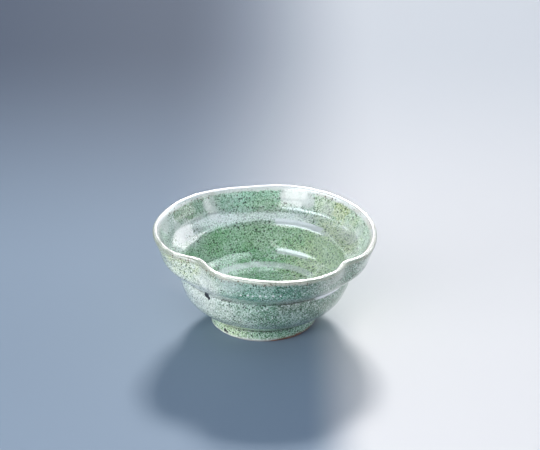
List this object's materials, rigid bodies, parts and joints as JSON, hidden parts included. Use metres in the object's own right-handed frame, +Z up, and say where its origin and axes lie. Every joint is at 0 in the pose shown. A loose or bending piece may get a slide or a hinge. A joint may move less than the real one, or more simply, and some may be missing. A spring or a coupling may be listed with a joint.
{
  "type": "small bowl",
  "caption": "Small glazed stoneware bowl with a rounded belly, a flared band, a lip pressed in at three places and a low foot ring.",
  "frame": {"origin": "on the table, under the middle of the bowl's outline seen from above", "axes": "+Z up out of the mouth; -Y towards the side whose lip bulges between the two narrow presses"},
  "size_m": [0.1312, 0.1292, 0.0597],
  "materials": {
    "stoneware": "matte",
    "inner_glaze": "gloss",
    "outer_glaze": "gloss"
  },
  "bodies": {
    "root": {"clay_body": "stoneware", "foot_ring": "stoneware", "inner_glaze": "inner_glaze", "outer_glaze": "outer_glaze", "base_glaze": "outer_glaze"}
  },
  "joints": []
}
